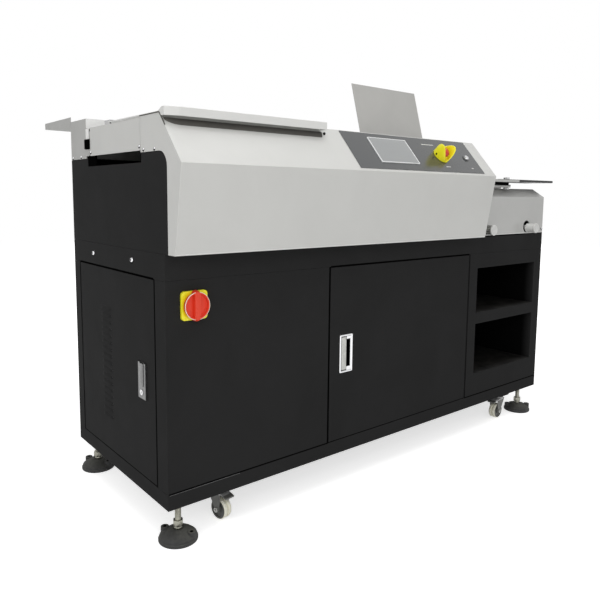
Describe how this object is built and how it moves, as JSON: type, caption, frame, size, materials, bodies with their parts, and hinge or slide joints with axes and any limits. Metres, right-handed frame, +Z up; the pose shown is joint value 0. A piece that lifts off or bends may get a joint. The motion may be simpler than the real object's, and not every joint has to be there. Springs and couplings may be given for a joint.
{
  "type": "thermal binding machine",
  "caption": "Floor-standing hot-glue book binder: cabinet with doors and shelves, sloping control hood, hinged lid, sliding book clamp, milling cutter and glue tank.",
  "frame": {"origin": "on the floor under the middle of the machine's outer box", "axes": "+Z up, +X along the machine's length towards its right end, +Y towards its rear"},
  "size_m": [1.717, 0.9054, 1.2833],
  "materials": {
    "black_paint": "textured matte powder coat",
    "grey_paint": "satin paint",
    "dark_paint": "satin paint",
    "overlay": "glossy",
    "screen": "glossy",
    "zinc_plate": "zinc plated",
    "chrome": "polished",
    "steel": "ground",
    "aluminium": "satin",
    "yellow_plastic": "satin",
    "red_plastic": "glossy",
    "cream_plastic": "satin",
    "white_plastic": "satin",
    "black_rubber": "matte"
  },
  "bodies": {
    "machine": {"base_frame": "black_paint", "cabinet_deck": "black_paint", "control_box": "aluminium", "control_panel": "overlay", "cover_bed": "steel", "drive_motor": "black_paint", "end_frame_left": "black_paint", "estop_guard": "yellow_plastic", "front_left_panel": "black_paint", "glue_tank": "aluminium", "guide_rod_lower": "steel", "guide_rod_upper": "steel", "hood": "grey_paint", "left_upper_panel": "black_paint", "levelling_foot_front_left": "black_rubber", "levelling_foot_front_right": "black_rubber", "levelling_foot_rear_left": "black_rubber", "levelling_foot_rear_right": "black_rubber", "mid_frame": "steel", "milling_motor": "black_paint", "rear_housing": "grey_paint", "rear_panel": "black_paint", "rear_tray": "grey_paint", "rear_upper_panel": "black_paint", "right_box": "grey_paint", "right_end_panel": "black_paint", "shelf_bay": "black_paint", "switch_body": "yellow_plastic", "table_rail": "grey_paint", "touch_screen": "screen"},
    "left_door": {"left_door": "black_paint", "left_lock_body": "zinc_plate"},
    "left_lock_handle": {"left_lock_handle": "zinc_plate"},
    "middle_door": {"middle_door": "black_paint", "door_pull": "chrome"},
    "door_latch": {"door_latch": "chrome"},
    "switch_handle": {"switch_handle": "red_plastic"},
    "left_end_flap": {"left_end_flap": "grey_paint"},
    "top_lid": {"top_lid": "grey_paint"},
    "estop_button": {"estop_button": "red_plastic"},
    "push_button": {"push_button": "zinc_plate"},
    "clamp_carriage": {"clamp_carriage": "aluminium", "book_rest": "grey_paint"},
    "drive_screw": {"drive_screw": "steel"},
    "clamp_jaw": {"clamp_jaw": "aluminium"},
    "milling_cutter": {"milling_cutter": "steel"},
    "glue_roller": {"glue_roller": "steel"},
    "nip_front": {"nip_front": "aluminium"},
    "knob_left": {"knob_left": "white_plastic"},
    "knob_right": {"knob_right": "white_plastic"},
    "table_extension": {"table_extension": "dark_paint"},
    "thumb_screw": {"thumb_screw": "steel"},
    "caster_fork_front_left": {"caster_fork_front_left": "zinc_plate"},
    "caster_wheel_front_left": {"caster_wheel_front_left": "cream_plastic"},
    "caster_fork_front_right": {"caster_fork_front_right": "zinc_plate"},
    "caster_wheel_front_right": {"caster_wheel_front_right": "cream_plastic"},
    "caster_fork_rear_left": {"caster_fork_rear_left": "zinc_plate"},
    "caster_wheel_rear_left": {"caster_wheel_rear_left": "cream_plastic"},
    "caster_fork_rear_right": {"caster_fork_rear_right": "zinc_plate"},
    "caster_wheel_rear_right": {"caster_wheel_rear_right": "cream_plastic"}
  },
  "joints": [
    {"name": "left_door_hinge", "type": "hinge", "parent": "machine", "child": "left_door", "pos_m": [-0.8465, 0.16285, 0.14], "axis": [0, 0, -1], "range_deg": [0, 110]},
    {"name": "left_lock_hinge", "type": "hinge", "parent": "left_door", "child": "left_lock_handle", "pos_m": [-0.8585, -0.24365, 0.435], "axis": [0, 1, 0], "range_deg": [0, 60]},
    {"name": "middle_door_hinge", "type": "hinge", "parent": "machine", "child": "middle_door", "pos_m": [0.3, -0.36265, 0.14], "axis": [0, 0, 1], "range_deg": [0, 110]},
    {"name": "door_latch_hinge", "type": "hinge", "parent": "middle_door", "child": "door_latch", "pos_m": [-0.2947, -0.36885, 0.3458], "axis": [0, 0, -1], "range_deg": [0, 25]},
    {"name": "main_switch_turn", "type": "hinge", "parent": "machine", "child": "switch_handle", "pos_m": [-0.779, -0.37625, 0.591], "axis": [0, 1, 0], "range_deg": [0, 90]},
    {"name": "end_flap_hinge", "type": "hinge", "parent": "machine", "child": "left_end_flap", "pos_m": [-0.853, 0.06855, 0.9535], "axis": [0, 0, -1], "range_deg": [0, 90]},
    {"name": "top_lid_hinge", "type": "hinge", "parent": "machine", "child": "top_lid", "pos_m": [-0.8515, -0.05915, 1.0405], "axis": [-1, 0, 0], "range_deg": [0, 80]},
    {"name": "estop_press", "type": "slide", "parent": "machine", "child": "estop_button", "axis": [0, 0.7501, -0.6613], "range_m": [0, 0.006]},
    {"name": "push_button_press", "type": "slide", "parent": "machine", "child": "push_button", "axis": [0, 0.7501, -0.6613], "range_m": [0, 0.003], "stiffness_N_per_m": 300, "springref_m": -0.002},
    {"name": "carriage_slide", "type": "slide", "parent": "machine", "child": "clamp_carriage", "axis": [1, 0, 0], "range_m": [-0.94, 0]},
    {"name": "drive_screw_turn", "type": "hinge", "parent": "machine", "child": "drive_screw", "pos_m": [-0.3625, 0.13235, 0.847], "axis": [1, 0, 0], "range_deg": [-16956, 36]},
    {"name": "clamp_jaw_slide", "type": "slide", "parent": "clamp_carriage", "child": "clamp_jaw", "axis": [0, 1, 0], "range_m": [0, 0.05]},
    {"name": "milling_cutter_spin", "type": "hinge", "parent": "machine", "child": "milling_cutter", "pos_m": [0.1285, 0.04435, 1.032], "axis": [0, 0, 1], "continuous": true},
    {"name": "glue_roller_spin", "type": "hinge", "parent": "machine", "child": "glue_roller", "pos_m": [-0.2015, 0.04435, 1.0215], "axis": [0, 1, 0], "continuous": true},
    {"name": "nip_slide", "type": "slide", "parent": "machine", "child": "nip_front", "axis": [0, 1, 0], "range_m": [0, 0.05]},
    {"name": "left_knob_turn", "type": "hinge", "parent": "machine", "child": "knob_left", "pos_m": [0.3865, -0.36765, 0.7355], "axis": [0, 1, 0], "continuous": true},
    {"name": "right_knob_turn", "type": "hinge", "parent": "machine", "child": "knob_right", "pos_m": [0.6605, -0.36765, 0.7355], "axis": [0, 1, 0], "continuous": true},
    {"name": "table_slide", "type": "slide", "parent": "machine", "child": "table_extension", "axis": [1, 0, 0], "range_m": [-0.15, 0]},
    {"name": "thumb_screw_turn", "type": "hinge", "parent": "machine", "child": "thumb_screw", "pos_m": [0.5475, -0.34465, 0.9], "axis": [0, 0, 1], "continuous": true},
    {"name": "caster_front_left_swivel", "type": "hinge", "parent": "machine", "child": "caster_fork_front_left", "pos_m": [-0.68, -0.30365, 0.0857], "axis": [0, 0, 1], "continuous": true},
    {"name": "caster_front_left_roll", "type": "hinge", "parent": "caster_fork_front_left", "child": "caster_wheel_front_left", "pos_m": [-0.67653, -0.32335, 0.0335], "axis": [0.9848, 0.1736, 0], "continuous": true},
    {"name": "caster_front_right_swivel", "type": "hinge", "parent": "machine", "child": "caster_fork_front_right", "pos_m": [0.5715, -0.33865, 0.0857], "axis": [0, 0, 1], "continuous": true},
    {"name": "caster_front_right_roll", "type": "hinge", "parent": "caster_fork_front_right", "child": "caster_wheel_front_right", "pos_m": [0.55153, -0.3397, 0.0335], "axis": [0.0523, -0.9986, 0], "continuous": true},
    {"name": "caster_rear_left_swivel", "type": "hinge", "parent": "machine", "child": "caster_fork_rear_left", "pos_m": [-0.68, 0.15235, 0.0857], "axis": [0, 0, 1], "continuous": true},
    {"name": "caster_rear_left_roll", "type": "hinge", "parent": "caster_fork_rear_left", "child": "caster_wheel_rear_left", "pos_m": [-0.67251, 0.17089, 0.0335], "axis": [-0.9272, 0.3746, 0], "continuous": true},
    {"name": "caster_rear_right_swivel", "type": "hinge", "parent": "machine", "child": "caster_fork_rear_right", "pos_m": [0.5715, 0.15235, 0.0857], "axis": [0, 0, 1], "continuous": true},
    {"name": "caster_rear_right_roll", "type": "hinge", "parent": "caster_fork_rear_right", "child": "caster_wheel_rear_right", "pos_m": [0.56305, 0.17048, 0.0335], "axis": [-0.9063, -0.4226, 0], "continuous": true}
  ],
  "couplings": [
    {"joint": "drive_screw_turn", "follows": "carriage_slide", "rad_per_m": 314.16}
  ]
}
